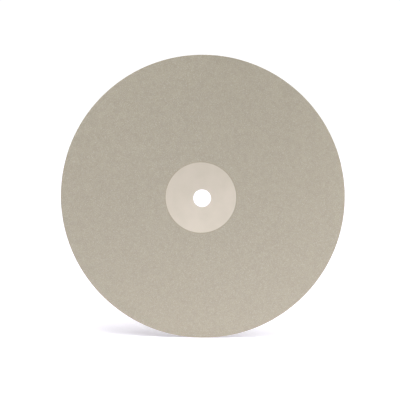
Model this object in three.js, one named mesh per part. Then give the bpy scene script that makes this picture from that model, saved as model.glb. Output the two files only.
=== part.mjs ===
// Plated diamond grinding wheel: an 8 inch flat lap with a 1/2 inch arbor bore.
//
// Five layers, as they are made: a flat steel core, nickel plating over its back, rim and bore,
// a nickel strike on its front face, a thicker nickel bond with a round opening masked off in the
// middle, and one layer of diamond grains held in that bond.
//
// Millimetres. The wheel stands upright: it spins about Y, its grinding face looks along -Y and
// the origin is on the axis of the bore, in the plane of the back face.

import * as THREE from "three";

// Driving dimensions
const WHEEL_DIAMETER = 203.2;
const BORE_DIAMETER = 12.7;
const CORE_THICKNESS = 1.0;
const CORE_EDGE_BREAK = 0.15;
const PLATING_THICKNESS = 0.02;
const BOND_THICKNESS = 0.1;
const GRIT_STAND_OUT = 0.06;

// The plater's mask leaves a bare land round the bore. It is laid by hand, so it sits off centre.
const LAND_DIAMETER = 50.4;
const LAND_OFFSET = new THREE.Vector2(-0.8, 0.46);

// The largest clamp washer, centred on the bore, that still lies wholly on the land
const CLAMP_SEAT_DIAMETER = 48;

// Sides of every round outline. All outlines share them, so that the layers meet face to face.
const ROUND_SIDES = 120;

const wheelRadius = WHEEL_DIAMETER / 2;
const boreRadius = BORE_DIAMETER / 2;
const coreRimRadius = wheelRadius - PLATING_THICKNESS;
const coreBoreRadius = boreRadius + PLATING_THICKNESS;

// Planes between the layers, from the back face at zero towards the grinding face at -Y
const coreBack = -PLATING_THICKNESS;
const coreFront = coreBack - CORE_THICKNESS;
const strikeFront = coreFront - PLATING_THICKNESS;
const bondFront = strikeFront - BOND_THICKNESS;

const satinSteel = new THREE.MeshStandardMaterial({ color: 0x9a9a98, roughness: 0.45, metalness: 1 });
const brightNickel = new THREE.MeshStandardMaterial({ color: 0xc9c3b6, roughness: 0.3, metalness: 1 });
const bareNickel = new THREE.MeshStandardMaterial({ color: 0xd5ccbe, roughness: 0.4, metalness: 1 });
const bondNickel = new THREE.MeshStandardMaterial({ color: 0xa9a192, roughness: 0.55, metalness: 1 });
const diamondGrit = new THREE.MeshStandardMaterial({ color: 0xb7ae9e, roughness: 0.5, metalness: 0 });

// A named piece.
function piece(name, geometry, material) {
  const mesh = new THREE.Mesh(geometry, material);
  mesh.name = name;
  return mesh;
}

// A closed profile of [radius, y] corners, turned about the Y axis.
function turned(corners) {
  const profile = [...corners, corners[0]].map(([radius, y]) => new THREE.Vector2(radius, y));
  return new THREE.LatheGeometry(profile, ROUND_SIDES);
}

// The blank: flat both sides, with the burr taken off its two back edges.
function makeSteelCore() {
  return turned([
    [coreBoreRadius, coreFront],
    [coreRimRadius, coreFront],
    [coreRimRadius, coreBack - CORE_EDGE_BREAK],
    [coreRimRadius - CORE_EDGE_BREAK, coreBack],
    [coreBoreRadius + CORE_EDGE_BREAK, coreBack],
    [coreBoreRadius, coreBack - CORE_EDGE_BREAK],
  ]);
}

// The plating that wraps the back: a shallow tray that also lines the bore. It is one thickness
// everywhere, so its outer edge breaks are set back by the offset of a 45 degree corner.
function makeBackPlating() {
  const edgeBreak = CORE_EDGE_BREAK + PLATING_THICKNESS * (2 - Math.SQRT2);
  return turned([
    [boreRadius, coreFront],
    [coreBoreRadius, coreFront],
    [coreBoreRadius, coreBack - CORE_EDGE_BREAK],
    [coreBoreRadius + CORE_EDGE_BREAK, coreBack],
    [coreRimRadius - CORE_EDGE_BREAK, coreBack],
    [coreRimRadius, coreBack - CORE_EDGE_BREAK],
    [coreRimRadius, coreFront],
    [wheelRadius, coreFront],
    [wheelRadius, -edgeBreak],
    [wheelRadius - edgeBreak, 0],
    [boreRadius + edgeBreak, 0],
    [boreRadius, -edgeBreak],
  ]);
}

// The strike: a flat ring over the whole front face. Its middle shows as the land, where the
// clamp seat has an edge of its own so that it is a face by itself.
function makeFrontPlating() {
  return turned([
    [boreRadius, strikeFront],
    [CLAMP_SEAT_DIAMETER / 2, strikeFront],
    [wheelRadius, strikeFront],
    [wheelRadius, coreFront],
    [boreRadius, coreFront],
  ]);
}

// A flat layer over the masked area: the wheel's outline less the off-centre land.
function coatingLayer(back, thickness) {
  const outline = new THREE.Shape().absarc(0, 0, wheelRadius, 0, 2 * Math.PI, false);
  const land = new THREE.Path().absarc(LAND_OFFSET.x, LAND_OFFSET.y, LAND_DIAMETER / 2, 0, 2 * Math.PI, true);
  outline.holes.push(land);
  // An arc is divided into twice its curve segments
  const options = { depth: thickness, bevelEnabled: false, curveSegments: ROUND_SIDES / 2 };
  const layer = new THREE.ExtrudeGeometry(outline, options);
  layer.rotateX(Math.PI / 2);
  layer.translate(0, back, 0);
  return layer;
}

const wheel = new THREE.Group();
wheel.name = "diamond_grinding_wheel";
wheel.add(
  piece("steel_core", makeSteelCore(), satinSteel),
  piece("nickel_plating_back", makeBackPlating(), brightNickel),
  piece("nickel_plating_front", makeFrontPlating(), bareNickel),
  piece("nickel_bond", coatingLayer(strikeFront, BOND_THICKNESS), bondNickel),
  piece("diamond_grit", coatingLayer(bondFront, GRIT_STAND_OUT), diamondGrit),
);

export default wheel;
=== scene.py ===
# Plated diamond grinding wheel: an 8 inch flat lap, upright on its rim on a pale studio floor.
# The sections follow the wheel as it is made: the steel core, the nickel plating over its back, the
# nickel strike on its front, the nickel bond and the diamond grains. The studio comes last.
import math

import bmesh
import bpy
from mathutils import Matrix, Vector, noise


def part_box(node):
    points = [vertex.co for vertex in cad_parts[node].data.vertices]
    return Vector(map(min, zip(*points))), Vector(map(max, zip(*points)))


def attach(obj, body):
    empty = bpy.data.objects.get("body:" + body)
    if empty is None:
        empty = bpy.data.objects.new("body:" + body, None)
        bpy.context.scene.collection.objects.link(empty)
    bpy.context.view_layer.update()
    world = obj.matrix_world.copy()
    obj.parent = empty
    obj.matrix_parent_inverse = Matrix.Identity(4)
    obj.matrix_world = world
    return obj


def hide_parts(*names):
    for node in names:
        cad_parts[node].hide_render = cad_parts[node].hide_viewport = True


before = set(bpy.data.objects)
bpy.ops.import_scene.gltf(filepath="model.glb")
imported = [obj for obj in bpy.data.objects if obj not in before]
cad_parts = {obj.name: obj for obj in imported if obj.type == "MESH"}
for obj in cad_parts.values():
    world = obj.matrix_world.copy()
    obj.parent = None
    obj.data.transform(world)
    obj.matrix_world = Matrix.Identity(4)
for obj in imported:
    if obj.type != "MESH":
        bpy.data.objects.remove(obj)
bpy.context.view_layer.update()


# ---------------------------------------------------------------- Steel core
# A blank of cold-rolled steel strip, 1 mm thick, ground flat on both sides and bored. Plating covers
# it all over, so the frame's own node stays as it is and only gets its metal.

MM = 0.001


def linear(code):
    """A colour as Blender wants it, from an sRGB hex value such as 0xC0A080."""
    channels = [(code >> shift & 255) / 255 for shift in (16, 8, 0)]
    curve = [c / 12.92 if c <= 0.04045 else ((c + 0.055) / 1.055) ** 2.4 for c in channels]
    return (*curve, 1.0)


def add(tree, kind, inputs=None, stops=(), **settings):
    """One node with its settings. An input gets a value, a node or socket to link, or a list of
    them. A node stands for its first output. Stops are a ramp's (position, sRGB hex) pairs."""
    made = tree.nodes.new(kind)
    for name, value in settings.items():
        setattr(made, name, value)
    for key, value in (inputs or {}).items():
        for part in value if isinstance(value, list) else [value]:
            if isinstance(part, bpy.types.Node):
                part = part.outputs[0]
            if isinstance(part, bpy.types.NodeSocket):
                tree.links.new(part, made.inputs[key])
            else:
                made.inputs[key].default_value = part
    for number, (position, code) in enumerate(stops):
        made.color_ramp.elements[number].position = position
        made.color_ramp.elements[number].color = linear(code)
    return made


def finish_of(name, metallic, roughness):
    """A new material, with its node tree and its shader, for a section to colour and pattern."""
    made = bpy.data.materials.new(name)
    made.use_nodes = True
    shader = made.node_tree.nodes["Principled BSDF"]
    shader.inputs["Metallic"].default_value = metallic
    shader.inputs["Roughness"].default_value = roughness
    return made, made.node_tree, shader


# Ground steel: straight scratches one way, which make it half dull. Real ones are finer than 0.1 mm,
# and these are drawn 0.4 mm wide. A stretch of 0.03 makes them about 33 times as long as wide.
GRINDING_SCRATCH = 0.4 * MM
SCRATCH_STRETCH = (0.03, 1.0, 1.0)
STEEL_GREYS = [(0.35, 0x8A8A88), (0.65, 0xA8A8A5)]

ground_steel, tree, shader = finish_of("ground_steel", metallic=1.0, roughness=0.45)
place = add(tree, "ShaderNodeTexCoord").outputs["Object"]
along = add(tree, "ShaderNodeMapping", {"Vector": place, "Scale": SCRATCH_STRETCH})
scratch = add(tree, "ShaderNodeTexNoise", {"Vector": along, "Scale": 1 / GRINDING_SCRATCH})
greys = add(tree, "ShaderNodeValToRGB", {"Fac": scratch}, STEEL_GREYS)
tree.links.new(greys.outputs["Color"], shader.inputs["Base Color"])
for material_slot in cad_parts["steel_core"].material_slots:
    material_slot.material = ground_steel


# ---------------------------------------------------------------- Nickel plating over the back
# Nickel plated in a bath over the back face, the rim and the bore wall, about 0.02 mm thick. It
# follows the ground steel under it, and its corners are rounded where the blank's edges are broken.

WHEEL_SIDES = 512
BORE_RADIUS = 6.35 * MM
CORNER_RADIUS = 0.2 * MM
CORNER_STEPS = 6
CREASE_ANGLE = 40
ON_AXIS = Vector((0.0, 0.0))

back_low, back_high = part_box("nickel_plating_back")
core_low, core_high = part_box("steel_core")
wheel_radius = back_high.x
plating = back_high.y - core_high.y


def corner(radius, y, rounding, from_angle, to_angle):
    """Points of a rounded corner of an outline, whose centre is at (radius, y)."""
    for step in range(CORNER_STEPS + 1):
        angle = math.radians(from_angle + (to_angle - from_angle) * step / CORNER_STEPS)
        yield (ON_AXIS, radius + rounding * math.cos(angle), y + rounding * math.sin(angle))


def hoop(name, outline, sides, material, height=None):
    """A closed ring from an outline of (centre, radius, y) points, with smooth faces and crisp
    edges. If height is given, it moves each point's y."""
    turns = [2 * math.pi * side / sides for side in range(sides)]
    points, faces = [], []
    for centre, radius, y in outline:
        for turn in turns:
            x, z = centre.x + radius * math.cos(turn), centre.y + radius * math.sin(turn)
            points.append((x, height(x, y, z) if height else y, z))
    for ring in range(len(outline)):
        here, there = ring * sides, (ring + 1) % len(outline) * sides
        for side in range(sides):
            after = (side + 1) % sides
            faces.append((here + side, here + after, there + after, there + side))
    mesh = bpy.data.meshes.new(name)
    mesh.from_pydata(points, [], faces)
    outward = bmesh.new()
    outward.from_mesh(mesh)
    bmesh.ops.recalc_face_normals(outward, faces=outward.faces)
    outward.to_mesh(mesh)
    outward.free()
    mesh.materials.append(material)
    mesh.shade_smooth()
    mesh.set_sharp_from_angle(angle=math.radians(CREASE_ANGLE))
    piece = bpy.data.objects.new(name, mesh)
    bpy.context.scene.collection.objects.link(piece)
    return piece


# Satin nickel plate: warm white metal. The straight grain of the ground steel shows through it. That
# is finer than 0.1 mm, and is drawn 1 mm wide so that it shows. Handling dulls the plate in clouds.
# The sharp edge of the rim is darkened in patches with painted shade.
GRAIN_WIDE = 1.0 * MM
GRAIN_STRETCH = (0.02, 1.0, 1.0)
GRAIN_RELIEF = 0.02 * MM
GRAIN_STRENGTH = 0.2
CLOUD_WIDTH = 40 * MM
DULLED_FROM = 0.4
DULLED_TO = 0.6
PLATE_TONES = [(DULLED_FROM, 0xC3BCB0), (DULLED_TO, 0xD3CCC0)]
PLATE_ROUGHNESS = (0.26, 0.42)
# Painted shade on the rim's sharp edge: how far in it reaches, how strong it is, and its dark tone
SHADED_RIM_WIDTH = 0.5 * MM
RIM_SHADE_STRENGTH = 1.7
RIM_SHADE_TONE = 0x6E675C

satin_nickel, tree, shader = finish_of("satin_nickel_plate", metallic=1.0, roughness=0.3)
place = add(tree, "ShaderNodeTexCoord").outputs["Object"]
along = add(tree, "ShaderNodeMapping", {"Vector": place, "Scale": GRAIN_STRETCH})
grain = add(tree, "ShaderNodeTexNoise", {"Vector": along, "Scale": 1 / GRAIN_WIDE, "Detail": 5.0})
clouds = add(tree, "ShaderNodeTexNoise", {"Vector": place, "Scale": 1 / CLOUD_WIDTH, "Detail": 6.0})
both = add(tree, "ShaderNodeMath", {0: grain, 1: clouds}, operation="ADD")
dulled = add(tree, "ShaderNodeMath", {0: both, 1: 0.5}, operation="MULTIPLY")
tones = add(tree, "ShaderNodeValToRGB", {"Fac": dulled}, PLATE_TONES)
across = add(tree, "ShaderNodeVectorMath", {0: place, 1: (1.0, 0.0, 1.0)}, operation="MULTIPLY")
from_axis = add(tree, "ShaderNodeVectorMath", {0: across}, operation="LENGTH").outputs["Value"]
# Painted shade: the base colour darkens towards the rim's sharp edge, in patches that follow the clouds
rim_shade = add(tree, "ShaderNodeMapRange", {
    "Value": from_axis,
    "From Min": wheel_radius - SHADED_RIM_WIDTH,
    "From Max": wheel_radius,
    "To Max": RIM_SHADE_STRENGTH,
})
patchy_rim_shade = add(tree, "ShaderNodeMath", {0: rim_shade, 1: clouds}, operation="MULTIPLY")
tones_with_rim_shade = add(tree, "ShaderNodeMix", {0: patchy_rim_shade, 6: tones, 7: linear(RIM_SHADE_TONE)}, data_type="RGBA")
tree.links.new(tones_with_rim_shade.outputs[2], shader.inputs["Base Color"])
rough = add(tree, "ShaderNodeMapRange", {
    "Value": dulled,
    "From Min": DULLED_FROM,
    "From Max": DULLED_TO,
    "To Min": PLATE_ROUGHNESS[0],
    "To Max": PLATE_ROUGHNESS[1],
})
tree.links.new(rough.outputs[0], shader.inputs["Roughness"])
relief = add(tree, "ShaderNodeBump", {
    "Height": grain, "Strength": GRAIN_STRENGTH, "Distance": GRAIN_RELIEF})
tree.links.new(relief.outputs[0], shader.inputs["Normal"])

corner_y = back_high.y - CORNER_RADIUS
inner_rounding = CORNER_RADIUS - plating
outside = [
    (ON_AXIS, BORE_RADIUS, core_low.y),
    *corner(BORE_RADIUS + CORNER_RADIUS, corner_y, CORNER_RADIUS, 180, 90),
    *corner(wheel_radius - CORNER_RADIUS, corner_y, CORNER_RADIUS, 90, 0),
    (ON_AXIS, wheel_radius, core_low.y),
]
inside = [
    (ON_AXIS, wheel_radius - plating, core_low.y),
    *corner(wheel_radius - CORNER_RADIUS, corner_y, inner_rounding, 0, 90),
    *corner(BORE_RADIUS + CORNER_RADIUS, corner_y, inner_rounding, 90, 180),
    (ON_AXIS, BORE_RADIUS + plating, core_low.y),
]
back_plating = hoop("nickel_plating_back_skin", outside + inside, WHEEL_SIDES, satin_nickel)
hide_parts("nickel_plating_back")
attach(back_plating, "root")


# ---------------------------------------------------------------- Nickel strike on the front
# The first thin nickel on the front face. A round mask keeps everything after it off the middle,
# where it stays bare as the land that the clamp washer bears on.

strike_low, strike_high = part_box("nickel_plating_front")

# Bare nickel strike: smooth, pale and slightly warm, with a soft even sheen and very faint clouds.
# Its fine tooth comes from the ground steel, and is drawn 0.8 mm wide so that it shows.
LAND_CLOUDS = 12 * MM
LAND_TONES = [(0.3, 0xD2CBBB), (0.7, 0xD9D1C2)]
LAND_ROUGHNESS = (0.36, 0.46)
LAND_TOOTH = 0.8 * MM
TOOTH_RELIEF = 0.02 * MM
TOOTH_STRENGTH = 0.2

bare_nickel, tree, shader = finish_of("bare_nickel_strike", metallic=1.0, roughness=0.4)
place = add(tree, "ShaderNodeTexCoord").outputs["Object"]
clouds = add(tree, "ShaderNodeTexNoise", {"Vector": place, "Scale": 1 / LAND_CLOUDS, "Detail": 4.0})
tones = add(tree, "ShaderNodeValToRGB", {"Fac": clouds}, LAND_TONES)
tree.links.new(tones.outputs["Color"], shader.inputs["Base Color"])
rough = add(tree, "ShaderNodeMapRange", {
    "Value": clouds, "To Min": LAND_ROUGHNESS[0], "To Max": LAND_ROUGHNESS[1]})
tree.links.new(rough.outputs[0], shader.inputs["Roughness"])
tooth = add(tree, "ShaderNodeTexNoise", {"Vector": place, "Scale": 1 / LAND_TOOTH, "Detail": 3.0})
relief = add(tree, "ShaderNodeBump", {
    "Height": tooth, "Strength": TOOTH_STRENGTH, "Distance": TOOTH_RELIEF})
tree.links.new(relief.outputs[0], shader.inputs["Normal"])

strike = hoop("nickel_strike_front", [
    (ON_AXIS, BORE_RADIUS, strike_high.y),
    (ON_AXIS, BORE_RADIUS, strike_low.y),
    (ON_AXIS, wheel_radius, strike_low.y),
    (ON_AXIS, wheel_radius, strike_high.y),
], WHEEL_SIDES, bare_nickel)
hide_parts("nickel_plating_front")
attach(strike, "root")


# ---------------------------------------------------------------- Nickel bond
# The thick dull nickel that grips the grains. It starts in a soft step at the edge of the mask and
# is never quite flat: it grows in low swells where the current was denser.

BOND_SIDES = 860
BOND_RINGS = 94
LAND_RADIUS = 25.2 * MM
LAND_CENTRE = Vector((-0.8, 0.46)) * MM
# From the mask outwards: distance in mm, and the share of the bond's thickness that grew there. It
# piles up in a low bead beside the mask.
MASK_EDGE = [(0.0, 0.0), (0.05, 0.6), (0.13, 0.95), (0.25, 1.15), (0.40, 1.15), (0.60, 1.0)]
RIM_ROUNDING = 0.08 * MM
SWELL_HEIGHT = 0.018 * MM
SWELL_WIDTH = 1.6 * MM
SWELL_SHARE = 0.6
BROAD_SWELL_WIDTH = SWELL_WIDTH * 2.7
BROAD_SWELL_SHARE = 0.4

bond_low, bond_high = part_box("nickel_bond")
bond_thickness = bond_high.y - bond_low.y


def swelling(x, y, z):
    """The height of the bond's front with its swells, and of its back as it is."""
    depth = (bond_high.y - y) / bond_thickness
    spot = Vector((x, 0.0, z))
    swell = SWELL_SHARE * noise.noise(spot / SWELL_WIDTH)
    broad_swell = BROAD_SWELL_SHARE * noise.noise(spot / BROAD_SWELL_WIDTH)
    return y + depth * SWELL_HEIGHT * (swell + broad_swell + 1.0) / 2


mask_edge = [
    (LAND_CENTRE, LAND_RADIUS + distance * MM, bond_high.y - bond_thickness * share)
    for distance, share in MASK_EDGE
]
# The rings drift from the mask's centre to the wheel's, because the mask was laid a little off it
first_radius = mask_edge[-1][1]
last_radius = wheel_radius - RIM_ROUNDING
front = [
    (LAND_CENTRE * (1 - share), first_radius + (last_radius - first_radius) * share, bond_low.y)
    for share in [ring / BOND_RINGS for ring in range(1, BOND_RINGS + 1)]
]
# The front corner of the rim, rounded in three steps of 30 degrees
rim_edge = [
    (ON_AXIS,
     wheel_radius - RIM_ROUNDING * (1 - math.sin(math.radians(angle))),
     bond_low.y + RIM_ROUNDING * (1 - math.cos(math.radians(angle))))
    for angle in (30, 60, 90)
]
bond_outline = [*mask_edge, *front, *rim_edge, (ON_AXIS, wheel_radius, bond_high.y)]

# Bond nickel: dull warm grey, because it grows as small round nodules that spread the light, and it
# is mottled where the bath was richer. The nodules are really about 0.05 mm wide, and are drawn
# 0.35 mm wide so that they show between the grains.
BOND_MOTTLE = 2.4 * MM
BOND_TONES = [(0.35, 0xA8A191), (0.65, 0xB0AA99)]
BOND_ROUGHNESS = (0.45, 0.65)
NODULE_WIDTH = 0.35 * MM
NODULE_RELIEF = 0.03 * MM
NODULE_STRENGTH = 0.4

bond_nickel, tree, shader = finish_of("dull_bond_nickel", metallic=1.0, roughness=0.55)
place = add(tree, "ShaderNodeTexCoord").outputs["Object"]
mottle = add(tree, "ShaderNodeTexNoise", {
    "Vector": place, "Scale": 1 / BOND_MOTTLE, "Detail": 4.0, "Roughness": 0.6})
tones = add(tree, "ShaderNodeValToRGB", {"Fac": mottle}, BOND_TONES)
tree.links.new(tones.outputs["Color"], shader.inputs["Base Color"])
rough = add(tree, "ShaderNodeMapRange", {
    "Value": mottle, "To Min": BOND_ROUGHNESS[0], "To Max": BOND_ROUGHNESS[1]})
tree.links.new(rough.outputs[0], shader.inputs["Roughness"])
nodules = add(tree, "ShaderNodeTexNoise", {"Vector": place, "Scale": 1 / NODULE_WIDTH, "Detail": 2.0})
relief = add(tree, "ShaderNodeBump", {
    "Height": nodules, "Strength": NODULE_STRENGTH, "Distance": NODULE_RELIEF})
tree.links.new(relief.outputs[0], shader.inputs["Normal"])

bond = hoop("nickel_bond_layer", bond_outline, BOND_SIDES, bond_nickel, swelling)
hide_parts("nickel_bond")
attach(bond, "root")


# ---------------------------------------------------------------- Diamond grains
# One layer of crushed synthetic diamond, a little over half sunk in the bond that grips it. 100 mesh
# grains are 0.15 mm across, too fine to show one by one, so they are drawn about four times as coarse
# and farther apart.

SECTORS = 8
GRAIN_WIDTH = 0.6 * MM
GRAIN_SPACING = 0.5 * MM
GRAIN_HEIGHT = 0.2 * MM
GRAIN_SINK = 0.03 * MM
GRAIN_TILT = 14
GRAIN_SEED = 7
SECTOR_SEED_STEP = 10
BARE_MARGIN = 0.8 * MM
# Points tried in each square of the spacing, before those that lie too close are dropped
TRIES = 4.0
# A front face looks along -Y, so its normal's Y is below this
FRONT_FACING = -0.5
# Crystals start as balls of so many sides and rings, and each corner is knocked by up to this share
# of the width. A grain's width, depth and height then vary between two more shares.
CRYSTAL_BALLS = [(4, 2), (5, 2), (4, 3), (4, 3), (5, 3)]
KNOCK = Vector((0.17, 0.17, 0.12))
SMALLEST = Vector((0.7, 0.7, 0.75))
LARGEST = Vector((1.15, 1.15, 1.15))

# Crushed diamond grit: hard flat facets of a greyish straw colour. Each stone is one colour right
# through, and stones differ, so each shade is a material of its own. Its high IOR makes it glint.
DIAMOND_IOR = 2.42
STONE_SHADES = [0x98927F, 0x8C8776, 0xA39D8A, 0x827C6C, 0x9A937F]
STONE_ROUGHNESS = [0.35, 0.42, 0.30, 0.45, 0.38]
stones = []
for number, (shade, roughness) in enumerate(zip(STONE_SHADES, STONE_ROUGHNESS), 1):
    stone, _, shader = finish_of(f"diamond_grit_shade_{number}", metallic=0.0, roughness=roughness)
    shader.inputs["Base Color"].default_value = linear(shade)
    shader.inputs["IOR"].default_value = DIAMOND_IOR
    stones.append(stone)


def grain_tree():
    """Scatters grains over one sector of the bond's front. The sizes are the tree's inputs."""
    tree = bpy.data.node_groups.new("diamond_grains", "GeometryNodeTree")
    tree.interface.new_socket("Geometry", in_out="OUTPUT", socket_type="NodeSocketGeometry")
    tree.interface.new_socket("Bond", in_out="INPUT", socket_type="NodeSocketGeometry")
    for name in ("Width", "Spacing", "Height", "Sink", "Tilt", "Land radius", "Rim radius", "Sectors"):
        tree.interface.new_socket(name, in_out="INPUT", socket_type="NodeSocketFloat")
    tree.interface.new_socket("Land centre", in_out="INPUT", socket_type="NodeSocketVector")
    for name in ("Sector", "Seed"):
        tree.interface.new_socket(name, in_out="INPUT", socket_type="NodeSocketInt")
    given = add(tree, "NodeGroupInput").outputs

    def seed_of(draw):
        """Each random draw has a number of its own, which is added to the tree's seed."""
        return add(tree, "ShaderNodeMath", {0: given["Seed"], 1: float(draw)}, operation="ADD")

    # The bond's faces that belong to this sector and look to the front
    here = add(tree, "GeometryNodeInputPosition")
    spot = add(tree, "ShaderNodeSeparateXYZ", {0: here}).outputs
    angle = add(tree, "ShaderNodeMath", {0: spot["Z"], 1: spot["X"]}, operation="ARCTAN2")
    part_turn = add(tree, "ShaderNodeMath", {0: angle, 1: 2 * math.pi}, operation="DIVIDE")
    turn = add(tree, "ShaderNodeMath", {0: part_turn, 1: 0.5}, operation="ADD")
    sectors_on = add(tree, "ShaderNodeMath", {0: turn, 1: given["Sectors"]}, operation="MULTIPLY")
    sector = add(tree, "ShaderNodeMath", {0: sectors_on}, operation="FLOOR")
    in_sector = add(tree, "ShaderNodeMath", {
        0: sector, 1: given["Sector"], 2: 0.5}, operation="COMPARE")
    normal = add(tree, "GeometryNodeInputNormal")
    facing = add(tree, "ShaderNodeSeparateXYZ", {0: normal}).outputs
    on_front = add(tree, "ShaderNodeMath", {0: facing["Y"], 1: FRONT_FACING}, operation="LESS_THAN")
    chosen = add(tree, "ShaderNodeMath", {0: in_sector, 1: on_front}, operation="MULTIPLY")
    square = add(tree, "ShaderNodeMath", {
        0: given["Spacing"], 1: given["Spacing"]}, operation="MULTIPLY")
    density = add(tree, "ShaderNodeMath", {0: TRIES, 1: square}, operation="DIVIDE")
    scatter = add(tree, "GeometryNodeDistributePointsOnFaces", {
        "Mesh": given["Bond"],
        "Selection": chosen,
        "Distance Min": given["Spacing"],
        "Density Max": density,
        "Seed": given["Seed"],
    }, distribute_method="POISSON")

    # None on the land's edge, and none over the rim
    from_land = add(tree, "ShaderNodeVectorMath", {
        0: here, 1: given["Land centre"]}, operation="DISTANCE").outputs["Value"]
    on_land = add(tree, "ShaderNodeMath", {
        0: from_land, 1: given["Land radius"]}, operation="LESS_THAN")
    x_squared = add(tree, "ShaderNodeMath", {0: spot["X"], 1: 2.0}, operation="POWER")
    z_squared = add(tree, "ShaderNodeMath", {0: spot["Z"], 1: 2.0}, operation="POWER")
    both_squared = add(tree, "ShaderNodeMath", {0: x_squared, 1: z_squared}, operation="ADD")
    from_axis = add(tree, "ShaderNodeMath", {0: both_squared, 1: 0.5}, operation="POWER")
    past_rim = add(tree, "ShaderNodeMath", {
        0: from_axis, 1: given["Rim radius"]}, operation="GREATER_THAN")
    unwanted = add(tree, "ShaderNodeMath", {0: on_land, 1: past_rim}, operation="MAXIMUM")
    kept = add(tree, "GeometryNodeDeleteGeometry", {
        "Geometry": scatter.outputs["Points"], "Selection": unwanted})
    inwards = add(tree, "ShaderNodeCombineXYZ", {"Y": given["Sink"]})
    sunk = add(tree, "GeometryNodeSetPosition", {"Geometry": kept, "Offset": inwards})

    # Crystals of unit width, each knocked out of shape and closed round by its flat facets
    crystals = []
    for number, (sides, rings) in enumerate(CRYSTAL_BALLS):
        ball = add(tree, "GeometryNodeMeshUVSphere", {
            "Segments": sides, "Rings": rings, "Radius": 0.5})
        knock = add(tree, "FunctionNodeRandomValue", {
            0: -KNOCK, 1: KNOCK, "Seed": seed_of(100 + number)}, data_type="FLOAT_VECTOR")
        knocked = add(tree, "GeometryNodeSetPosition", {
            "Geometry": ball.outputs["Mesh"], "Offset": knock})
        crystal = add(tree, "GeometryNodeConvexHull", {0: knocked})
        crystals.append(add(tree, "GeometryNodeGeometryToInstance", {0: crystal}))
    crystals = add(tree, "GeometryNodeJoinGeometry", {"Geometry": crystals})

    # Each grain leans a little, is spun anyhow about its height, and has a size of its own
    lean = add(tree, "FunctionNodeRandomValue", {
        0: (-1, -1, 0), 1: (1, 1, 0), "Seed": seed_of(1)}, data_type="FLOAT_VECTOR")
    lean = add(tree, "ShaderNodeVectorMath", {0: lean, "Scale": given["Tilt"]}, operation="SCALE")
    spin = add(tree, "FunctionNodeRandomValue", {
        0: (0, 0, -math.pi), 1: (0, 0, math.pi), "Seed": seed_of(2)}, data_type="FLOAT_VECTOR")
    leaning = add(tree, "ShaderNodeVectorMath", {0: lean, 1: spin}, operation="ADD")
    turned = add(tree, "FunctionNodeRotateRotation", {
        "Rotation": scatter.outputs["Rotation"],
        "Rotate By": add(tree, "FunctionNodeEulerToRotation", {0: leaning}),
    }, rotation_space="LOCAL")
    size = add(tree, "ShaderNodeCombineXYZ", {
        "X": given["Width"], "Y": given["Width"], "Z": given["Height"]})
    spread = add(tree, "FunctionNodeRandomValue", {
        0: SMALLEST, 1: LARGEST, "Seed": seed_of(3)}, data_type="FLOAT_VECTOR")
    varied = add(tree, "ShaderNodeVectorMath", {0: size, 1: spread}, operation="MULTIPLY")
    # A draw's inputs 4 and 5 and output 2 are the ones for whole numbers
    choice = add(tree, "FunctionNodeRandomValue", {
        4: 0, 5: len(CRYSTAL_BALLS) - 1, "Seed": seed_of(4)}, data_type="INT").outputs[2]
    dealt = add(tree, "FunctionNodeRandomValue", {
        4: 0, 5: len(stones) - 1, "Seed": seed_of(5)}, data_type="INT").outputs[2]
    grains = add(tree, "GeometryNodeInstanceOnPoints", {
        "Points": sunk,
        "Instance": crystals,
        "Pick Instance": True,
        "Instance Index": choice,
        "Rotation": turned,
        "Scale": varied,
    })

    # One stone for each grain, with flat facets
    shaded = add(tree, "GeometryNodeStoreNamedAttribute", {
        "Geometry": grains, "Name": "shade", "Value": dealt}, data_type="INT", domain="INSTANCE")
    solid = add(tree, "GeometryNodeRealizeInstances", {0: shaded})
    solid = add(tree, "GeometryNodeSetShadeSmooth", {"Geometry": solid, "Shade Smooth": False})
    solid = add(tree, "GeometryNodeSetMaterial", {"Geometry": solid, "Material": stones[0]})
    shade = add(tree, "GeometryNodeInputNamedAttribute", {"Name": "shade"}, data_type="INT")
    for number, stone in enumerate(stones[1:], 1):
        this_shade = add(tree, "ShaderNodeMath", {0: shade, 1: float(number), 2: 0.5}, operation="COMPARE")
        solid = add(tree, "GeometryNodeSetMaterial", {
            "Geometry": solid, "Selection": this_shade, "Material": stone})
    plain = add(tree, "GeometryNodeRemoveAttribute", {"Geometry": solid, "Name": "shade"})
    add(tree, "NodeGroupOutput", {"Geometry": plain})
    return tree


grains_tree = grain_tree()
sizes = {
    "Width": GRAIN_WIDTH,
    "Spacing": GRAIN_SPACING,
    "Height": GRAIN_HEIGHT,
    "Sink": GRAIN_SINK,
    "Tilt": math.radians(GRAIN_TILT),
    "Land centre": (LAND_CENTRE.x, bond_low.y, LAND_CENTRE.y),
    "Land radius": LAND_RADIUS + BARE_MARGIN,
    "Rim radius": wheel_radius - GRAIN_WIDTH / 2,
    "Sectors": float(SECTORS),
}
for number in range(SECTORS):
    grower = bpy.data.objects.new("grower", bond.data)
    bpy.context.scene.collection.objects.link(grower)
    modifier = grower.modifiers.new("grains", "NODES")
    modifier.node_group = grains_tree
    wanted = {**sizes, "Sector": number, "Seed": GRAIN_SEED + SECTOR_SEED_STEP * number}
    for socket in grains_tree.interface.items_tree:
        if socket.name in wanted:
            modifier[socket.identifier] = wanted[socket.name]
    graph = bpy.context.evaluated_depsgraph_get()
    mesh = bpy.data.meshes.new_from_object(grower.evaluated_get(graph), depsgraph=graph)
    mesh.name = f"diamond_grains_{number + 1}"
    # The bond's own finish comes along in the first slot, and no grain uses it
    mesh.materials.pop(index=0)
    bpy.data.objects.remove(grower)
    sector = bpy.data.objects.new(mesh.name, mesh)
    bpy.context.scene.collection.objects.link(sector)
    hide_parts("diamond_grit")
    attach(sector, "root")


# ---------------------------------------------------------------- Studio
# A wide pale floor that glows a little, as a lit table does, in a bright even room. Two far softboxes
# give the light its direction, and two panels close to the wheel give its face a slow change in tone.

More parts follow.
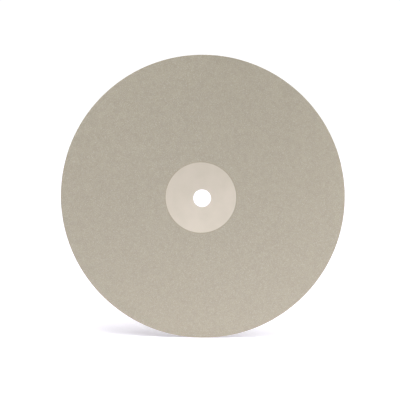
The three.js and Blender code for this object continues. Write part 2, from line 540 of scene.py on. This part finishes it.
FLOOR_SIZE = 6.0
FLOOR_TONE = 0xF2F0F8
FLOOR_GLOW = 0.3
FLOOR_GLOW_TONE = 0xF6F2FF
ROOM_LIGHT = 0.22
ROOM_LIGHT_TONE = 0xFFFEEE
BACKDROP_LIGHT = 1.05
BACKDROP_TONE = 0xFFFFFF
# Far softboxes: strength, and in degrees the angle that each takes up, its azimuth and its elevation
SOFTBOXES = [
    ("softbox_overhead", 1.8, 40, 10, 77),
    ("softbox_right", 1.65, 60, 50, 50),
]
# Panels close to the wheel: watts, width in metres, azimuth, elevation, distance in metres
PANELS = [
    ("panel_left", 0.65, 0.25, -60, 45, 0.4),
    ("panel_right", 0.55, 0.2, 85, 10, 0.3),
]
# The camera looks almost square on at the grinding face, from a little above, through a long lens
CAMERA_DISTANCE = 0.6419
CAMERA_AZIMUTH = 1.87
CAMERA_ELEVATION = 5.35
CAMERA_AIM = Vector((-1.495, -1.2, -1.222)) * MM
CAMERA_LENS = 80.78
FILM_WIDTH = 36.0

# Pale table top: matt, almost white and slightly cool, with a faint glow from below
pale_floor, _, shader = finish_of("pale_floor", metallic=0.0, roughness=0.6)
shader.inputs["Base Color"].default_value = linear(FLOOR_TONE)
shader.inputs["Emission Color"].default_value = linear(FLOOR_GLOW_TONE)
shader.inputs["Emission Strength"].default_value = FLOOR_GLOW
half = FLOOR_SIZE / 2
ground = back_low.z
corners = [(-half, -half, ground), (half, -half, ground), (half, half, ground), (-half, half, ground)]
mesh = bpy.data.meshes.new("floor")
mesh.from_pydata(corners, [], [(0, 1, 2, 3)])
mesh.materials.append(pale_floor)
floor = bpy.data.objects.new("floor", mesh)
bpy.context.scene.collection.objects.link(floor)

# The room lights the wheel softly from all round, in a slightly warm white, and is seen as pure white
room = bpy.data.worlds.new("bright_room")
bpy.context.scene.world = room
room.use_nodes = True
tree = room.node_tree
tree.nodes.clear()
seen = add(tree, "ShaderNodeBackground", {
    "Color": linear(BACKDROP_TONE), "Strength": BACKDROP_LIGHT})
lighting = add(tree, "ShaderNodeBackground", {
    "Color": linear(ROOM_LIGHT_TONE), "Strength": ROOM_LIGHT})
ray = add(tree, "ShaderNodeLightPath").outputs["Is Camera Ray"]
mixed = add(tree, "ShaderNodeMixShader", {0: ray, 1: lighting, 2: seen})
add(tree, "ShaderNodeOutputWorld", {"Surface": mixed})


def from_side(azimuth, elevation):
    """The direction out to an azimuth from the front, counted to the right, and an elevation."""
    turn, rise = math.radians(azimuth), math.radians(elevation)
    return Vector((math.sin(turn) * math.cos(rise), -math.cos(turn) * math.cos(rise), math.sin(rise)))


for name, strength, width, azimuth, elevation in SOFTBOXES:
    softbox = bpy.data.lights.new(name, "SUN")
    softbox.energy = strength
    softbox.angle = math.radians(width)
    light = bpy.data.objects.new(name, softbox)
    light.rotation_euler = from_side(azimuth, elevation).to_track_quat("Z", "Y").to_euler()
    bpy.context.scene.collection.objects.link(light)

for name, power, width, azimuth, elevation, distance in PANELS:
    panel = bpy.data.lights.new(name, "AREA")
    panel.energy = power
    panel.size = width
    light = bpy.data.objects.new(name, panel)
    light.location = from_side(azimuth, elevation) * distance
    light.rotation_euler = from_side(azimuth, elevation).to_track_quat("Z", "Y").to_euler()
    light.visible_camera = False
    bpy.context.scene.collection.objects.link(light)

outward = from_side(CAMERA_AZIMUTH, CAMERA_ELEVATION)
lens = bpy.data.cameras.new("camera")
lens.lens = CAMERA_LENS
lens.sensor_width = FILM_WIDTH
camera = bpy.data.objects.new("camera", lens)
camera.location = CAMERA_AIM + outward * CAMERA_DISTANCE
camera.rotation_euler = outward.to_track_quat("Z", "Y").to_euler()
bpy.context.scene.collection.objects.link(camera)
bpy.context.scene.camera = camera
bpy.context.scene.view_settings.view_transform = "Standard"
